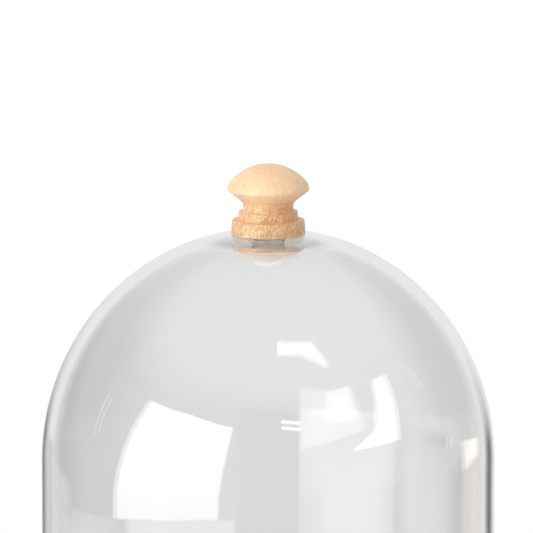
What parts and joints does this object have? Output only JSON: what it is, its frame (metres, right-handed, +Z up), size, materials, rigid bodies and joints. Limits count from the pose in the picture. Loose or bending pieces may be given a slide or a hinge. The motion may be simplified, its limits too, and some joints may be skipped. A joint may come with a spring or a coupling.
{
  "type": "bell jar dome",
  "caption": "Clear glass bell with a straight wall, a rounded crown and a flat ground rim, lifted by a small turned wooden knob that a screw clamps to the top",
  "frame": {"origin": "centre of the rim, on the plane that the bell stands on", "axes": "+Z runs up the axis of the bell to the knob; the part is round about Z, so X and Y are any two horizontal directions"},
  "size_m": [0.125, 0.125, 0.2004],
  "materials": {
    "clear_glass": "clear blown glass with a very slight grey-green tint, smooth and glossy",
    "pale_wood": "turned and sanded pale beech with fine grain flecks and a thin matt oil",
    "brass": "machined brass",
    "clear_silicone": "soft translucent silicone, satin",
    "nylon": "natural nylon, matt"
  },
  "bodies": {
    "bell": {"glass_dome": "clear_glass", "hole_sleeve": "nylon", "inner_gasket": "clear_silicone", "flat_washer": "nylon", "clamp_screw": "nylon"},
    "washer": {"knob_washer": "clear_silicone"},
    "knob": {"wooden_knob": "pale_wood", "threaded_insert": "brass"}
  },
  "joints": [
    {"name": "knob_rise", "type": "slide", "parent": "bell", "child": "washer", "axis": [0, 0, 1], "range_m": [0, 0.0084]},
    {"name": "knob_turn", "type": "hinge", "parent": "washer", "child": "knob", "pos_m": [0, 0, 0.181], "axis": [0, 0, 1], "range_deg": [0, 4320]}
  ],
  "couplings": [
    {"joint": "knob_rise", "follows": "knob_turn", "m_per_rad": 0.00011141}
  ]
}
